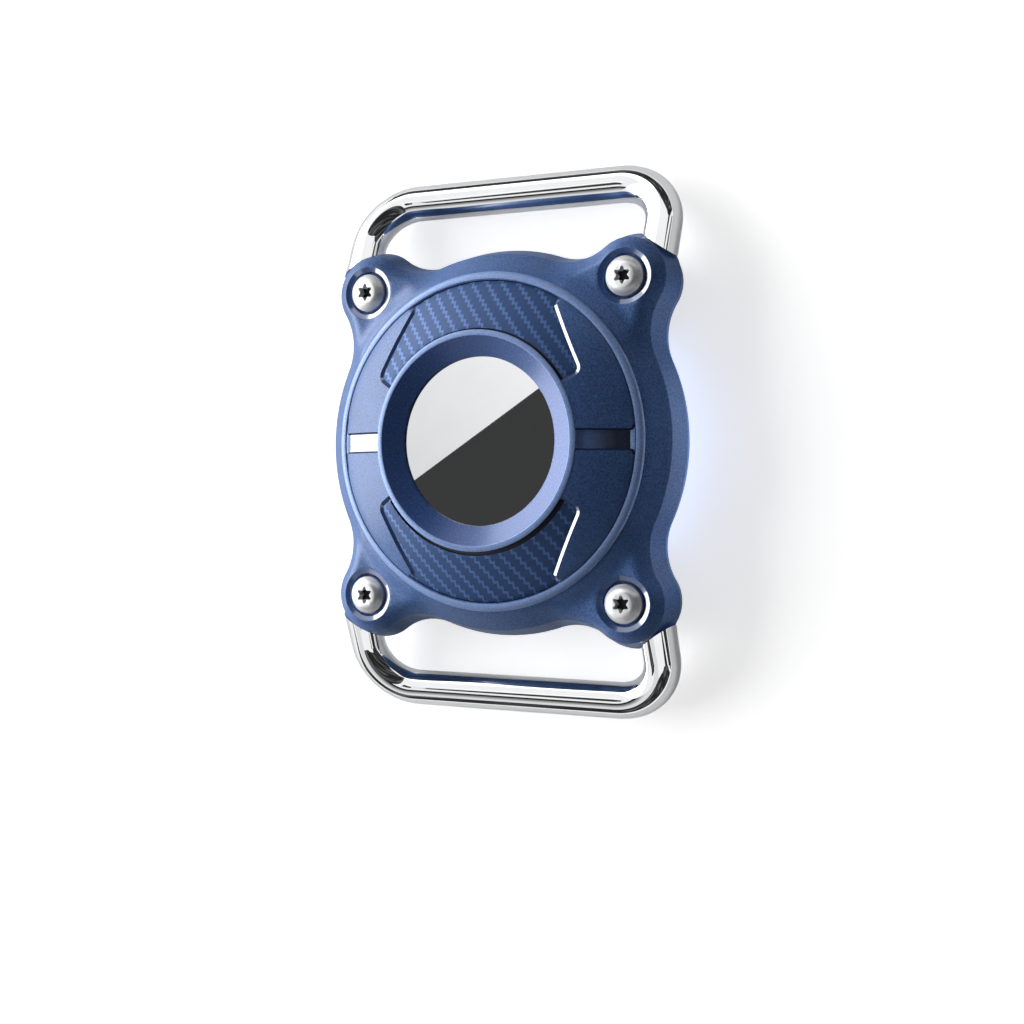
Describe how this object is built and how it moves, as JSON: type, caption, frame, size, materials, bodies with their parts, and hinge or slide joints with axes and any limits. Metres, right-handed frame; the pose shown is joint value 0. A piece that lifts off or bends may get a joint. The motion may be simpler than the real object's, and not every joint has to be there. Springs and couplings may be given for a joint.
{
  "type": "tracker tag holder",
  "caption": "Sealed metal clamshell that holds a round tracker tag behind an open window, with a fixed wire strap loop at each end.",
  "frame": {"origin": "middle of the case's flat back", "axes": "+Z out of the window side, +Y from the lower strap loop to the upper one, +X to the right as seen from the window side"},
  "size_m": [0.0426, 0.0604, 0.0132],
  "materials": {
    "case_metal": "satin blue with a fine fleck",
    "inlay_weave": "printed weave under clear lacquer",
    "loop_chrome": "mirror",
    "screw_steel": "polished steel",
    "insert_brass": "turned",
    "seal_rubber": "matte",
    "pad_foam": "matte",
    "tag_plastic": "gloss white",
    "tag_steel": "polished steel",
    "tray_plastic": "matte",
    "cell_steel": "satin",
    "board_green": "solder mask",
    "shield_steel": "satin",
    "magnet_nickel": "plated",
    "coil_copper": "enamelled wire",
    "carrier_plastic": "matte",
    "spring_gold": "plated"
  },
  "bodies": {
    "rear": {"rear_shell": "case_metal", "upper_loop": "loop_chrome", "lower_loop": "loop_chrome", "thread_inserts": "insert_brass", "body_gasket": "seal_rubber", "cushion_pad": "pad_foam"},
    "front": {"front_shell": "case_metal", "upper_inlay": "inlay_weave", "lower_inlay": "inlay_weave", "face_gasket": "seal_rubber"},
    "upper_left_screw": {"screw_upper_left": "screw_steel"},
    "upper_right_screw": {"screw_upper_right": "screw_steel"},
    "lower_left_screw": {"screw_lower_left": "screw_steel"},
    "lower_right_screw": {"screw_lower_right": "screw_steel"},
    "tag": {"tag_base": "tag_plastic", "battery_tray": "tray_plastic", "coin_cell": "cell_steel", "circuit_board": "board_green", "radio_shield": "shield_steel", "speaker_magnet": "magnet_nickel", "voice_coil": "coil_copper", "antenna_carrier": "carrier_plastic", "contact_springs": "spring_gold"},
    "cover": {"tag_cover": "tag_steel"}
  },
  "joints": [
    {"name": "front_lift", "type": "slide", "parent": "rear", "child": "front", "axis": [0, 0, 1], "range_m": [0, 0.034]},
    {"name": "upper_left_unscrew", "type": "slide", "parent": "front", "child": "upper_left_screw", "axis": [0, 0, 1], "range_m": [0, 0.01]},
    {"name": "upper_right_unscrew", "type": "slide", "parent": "front", "child": "upper_right_screw", "axis": [0, 0, 1], "range_m": [0, 0.01]},
    {"name": "lower_left_unscrew", "type": "slide", "parent": "front", "child": "lower_left_screw", "axis": [0, 0, 1], "range_m": [0, 0.01]},
    {"name": "lower_right_unscrew", "type": "slide", "parent": "front", "child": "lower_right_screw", "axis": [0, 0, 1], "range_m": [0, 0.01]},
    {"name": "tag_lift", "type": "slide", "parent": "rear", "child": "tag", "axis": [0, 0, 1], "range_m": [0, 0.017]},
    {"name": "cover_twist", "type": "hinge", "parent": "tag", "child": "cover", "pos_m": [0, 0, 0.0115], "axis": [0, 0, 1], "range_deg": [0, 30]}
  ],
  "couplings": [
    {"joint": "tag_lift", "follows": "front_lift", "ratio": 0.5}
  ]
}
